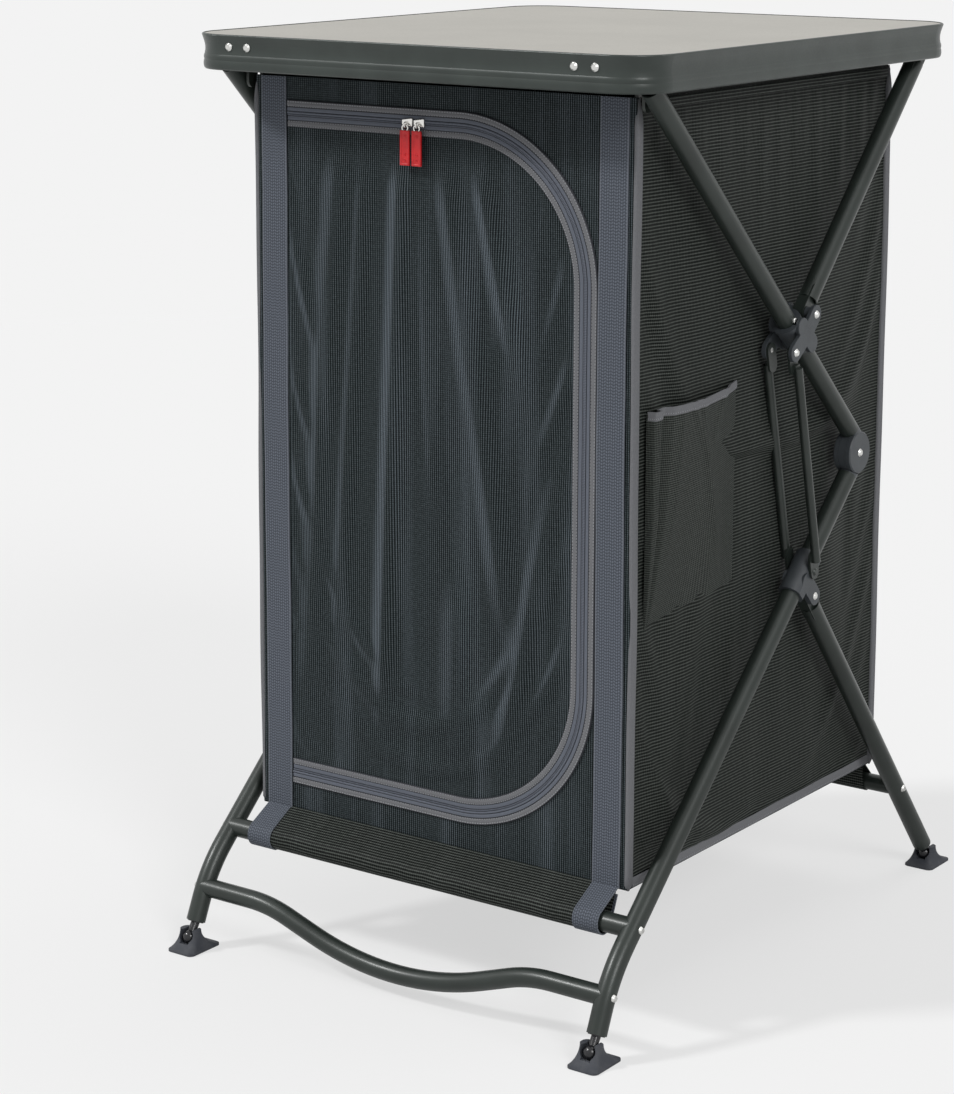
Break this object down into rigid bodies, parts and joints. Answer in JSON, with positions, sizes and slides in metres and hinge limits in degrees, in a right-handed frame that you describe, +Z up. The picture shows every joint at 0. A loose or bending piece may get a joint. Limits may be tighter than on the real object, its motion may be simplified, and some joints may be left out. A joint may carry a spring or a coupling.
{
  "type": "camping cupboard",
  "caption": "Folding camping cupboard: a framed table top on crossed tube legs over a hanging fabric body with a zipped door, inner shelf and side pocket.",
  "frame": {"origin": "on the ground, midway between the front and the rear feet and between the two sides", "axes": "+X to the cupboard's right as seen from the door, +Y from the door to the back, +Z up"},
  "size_m": [0.543, 0.7296, 0.942],
  "materials": {
    "top_laminate": "satin laminate, fine grain",
    "frame_paint": "dark grey-green hammered powder coat",
    "joint_plastic": "fine-grained charcoal moulding",
    "stem_plastic": "glossy black",
    "rivet_steel": "satin zinc",
    "foot_rubber": "matt dark grey",
    "mesh_fabric": "coated open mesh with a soft sheen",
    "grey_webbing": "ribbed grey webbing",
    "zip_metal": "bright nickel",
    "red_pull": "soft red",
    "shelf_board": "black cloth-covered board"
  },
  "bodies": {
    "table": {"tabletop_board": "top_laminate", "tabletop_rim": "frame_paint", "corner_blocks": "joint_plastic", "rim_rivets": "rivet_steel", "front_pivot_ears": "frame_paint", "rear_pivot_brackets": "frame_paint", "hanging_rails": "frame_paint", "front_surround": "mesh_fabric", "side_panel_left": "mesh_fabric", "side_panel_right": "mesh_fabric", "back_panel": "mesh_fabric", "floor_panel": "mesh_fabric", "webbing_straps": "grey_webbing", "edge_bindings": "grey_webbing", "side_pocket": "mesh_fabric", "pocket_binding": "grey_webbing", "zip_tape_outer": "grey_webbing"},
    "rear_struts": {"rear_strut_left": "frame_paint", "rear_strut_right": "frame_paint"},
    "collars": {"collar_left": "joint_plastic", "collar_right": "joint_plastic", "collar_rivets": "rivet_steel"},
    "front_arms": {"front_arm_left": "frame_paint", "front_arm_right": "frame_paint", "upper_knuckle_left": "joint_plastic", "upper_knuckle_right": "joint_plastic", "knee_pins": "rivet_steel"},
    "front_legs": {"front_leg_left": "frame_paint", "front_leg_right": "frame_paint", "lower_knuckle_left": "joint_plastic", "lower_knuckle_right": "joint_plastic", "leg_joint_left": "joint_plastic", "leg_joint_right": "joint_plastic", "front_cross_tube": "frame_paint", "foot_bar": "frame_paint", "leg_rivets": "rivet_steel", "front_foot_stems": "stem_plastic", "bar_sleeve": "mesh_fabric", "sleeve_bands": "grey_webbing"},
    "rear_legs": {"rear_leg_left": "frame_paint", "rear_leg_right": "frame_paint", "rear_cross_tube": "frame_paint", "rear_leg_rivets": "rivet_steel", "rear_foot_stems": "stem_plastic", "rear_sleeve": "mesh_fabric"},
    "links": {"twin_links": "frame_paint"},
    "snap_button_left": {"snap_button_left": "rivet_steel"},
    "snap_button_right": {"snap_button_right": "rivet_steel"},
    "foot_pad_front_left": {"foot_pad_front_left": "foot_rubber"},
    "foot_pad_front_right": {"foot_pad_front_right": "foot_rubber"},
    "foot_pad_rear_left": {"foot_pad_rear_left": "foot_rubber"},
    "foot_pad_rear_right": {"foot_pad_rear_right": "foot_rubber"},
    "door": {"door_panel": "mesh_fabric", "zip_tape_inner": "grey_webbing"},
    "zip_slider_left": {"zip_slider_left": "zip_metal"},
    "zip_slider_right": {"zip_slider_right": "zip_metal"},
    "zip_pull_left": {"zip_pull_left": "red_pull"},
    "zip_pull_right": {"zip_pull_right": "red_pull"},
    "floor_board": {"floor_board": "shelf_board"},
    "middle_shelf": {"middle_shelf": "shelf_board"}
  },
  "joints": [
    {"name": "fold", "type": "hinge", "parent": "table", "child": "rear_struts", "pos_m": [0, 0.2604, 0.913], "axis": [-1, 0, 0], "range_deg": [0, 42.62], "deforming": ["front_surround", "side_panel_left", "side_panel_right", "back_panel", "floor_panel", "webbing_straps", "edge_bindings", "side_pocket", "pocket_binding", "zip_tape_outer", "door_panel", "zip_tape_inner", "bar_sleeve", "rear_sleeve"]},
    {"name": "collar_turn", "type": "hinge", "parent": "rear_struts", "child": "collars", "pos_m": [0, 0.02314, 0.6671], "axis": [1, 0, 0], "range_deg": [0, 78.1]},
    {"name": "arm_slide", "type": "slide", "parent": "collars", "child": "front_arms", "axis": [0, 0.7218, -0.6921], "range_m": [0, 0.187]},
    {"name": "knee", "type": "hinge", "parent": "front_arms", "child": "front_legs", "pos_m": [0, 0.136, 0.5069], "axis": [-1, 0, 0], "range_deg": [0, 82.4]},
    {"name": "rear_leg_turn", "type": "hinge", "parent": "front_legs", "child": "rear_legs", "pos_m": [0, 0.04376, 0.37366], "axis": [-1, 0, 0], "range_deg": [0, 83.2]},
    {"name": "link_turn", "type": "hinge", "parent": "collars", "child": "links", "pos_m": [0, -0.0157, 0.63383], "axis": [1, 0, 0], "range_deg": [0, 31.7]},
    {"name": "floor_board_rise", "type": "slide", "parent": "table", "child": "floor_board", "axis": [0, 0, 1], "range_m": [0, 0.7051]},
    {"name": "middle_shelf_rise", "type": "slide", "parent": "table", "child": "middle_shelf", "axis": [0, 0, 1], "range_m": [0, 0.3545]},
    {"name": "door_swing", "type": "hinge", "parent": "table", "child": "door", "pos_m": [-0.184, -0.2528, 0.522], "axis": [0, 0, -1], "range_deg": [0, 120]},
    {"name": "zip_run_left", "type": "slide", "parent": "table", "child": "zip_slider_left", "axis": [-1, 0, 0], "range_m": [0, 0.135]},
    {"name": "zip_run_right", "type": "slide", "parent": "table", "child": "zip_slider_right", "axis": [1, 0, 0], "range_m": [0, 0.035]},
    {"name": "pull_lift_left", "type": "hinge", "parent": "zip_slider_left", "child": "zip_pull_left", "pos_m": [-0.034, -0.2586, 0.8595], "axis": [-1, 0, 0], "range_deg": [0, 80]},
    {"name": "pull_lift_right", "type": "hinge", "parent": "zip_slider_right", "child": "zip_pull_right", "pos_m": [-0.02, -0.2586, 0.8595], "axis": [-1, 0, 0], "range_deg": [0, 80]},
    {"name": "button_press_left", "type": "slide", "parent": "front_arms", "child": "snap_button_left", "axis": [1, 0, 0], "range_m": [0, 0.0025], "stiffness_N_per_m": 1200},
    {"name": "button_press_right", "type": "slide", "parent": "front_arms", "child": "snap_button_right", "axis": [-1, 0, 0], "range_m": [0, 0.0025], "stiffness_N_per_m": 1200},
    {"name": "foot_tilt_front_left", "type": "hinge", "parent": "front_legs", "child": "foot_pad_front_left", "pos_m": [-0.248, -0.3468, 0.0135], "axis": [1, 0, 0], "range_deg": [-20, 20]},
    {"name": "foot_tilt_front_right", "type": "hinge", "parent": "front_legs", "child": "foot_pad_front_right", "pos_m": [0.248, -0.3468, 0.0135], "axis": [1, 0, 0], "range_deg": [-20, 20]},
    {"name": "foot_tilt_rear_left", "type": "hinge", "parent": "rear_legs", "child": "foot_pad_rear_left", "pos_m": [-0.248, 0.3348, 0.0135], "axis": [1, 0, 0], "range_deg": [-20, 20]},
    {"name": "foot_tilt_rear_right", "type": "hinge", "parent": "rear_legs", "child": "foot_pad_rear_right", "pos_m": [0.248, 0.3348, 0.0135], "axis": [1, 0, 0], "range_deg": [-20, 20]}
  ],
  "couplings": [
    {"joint": "collar_turn", "follows": "fold", "ratio": 1.8311},
    {"joint": "arm_slide", "follows": "fold", "m_per_rad": 0.25059},
    {"joint": "knee", "follows": "fold", "ratio": 1.9303},
    {"joint": "rear_leg_turn", "follows": "fold", "ratio": 1.9474},
    {"joint": "link_turn", "follows": "fold", "ratio": 0.73932},
    {"joint": "floor_board_rise", "follows": "fold", "m_per_rad": 0.94776},
    {"joint": "middle_shelf_rise", "follows": "fold", "m_per_rad": 0.47643}
  ]
}
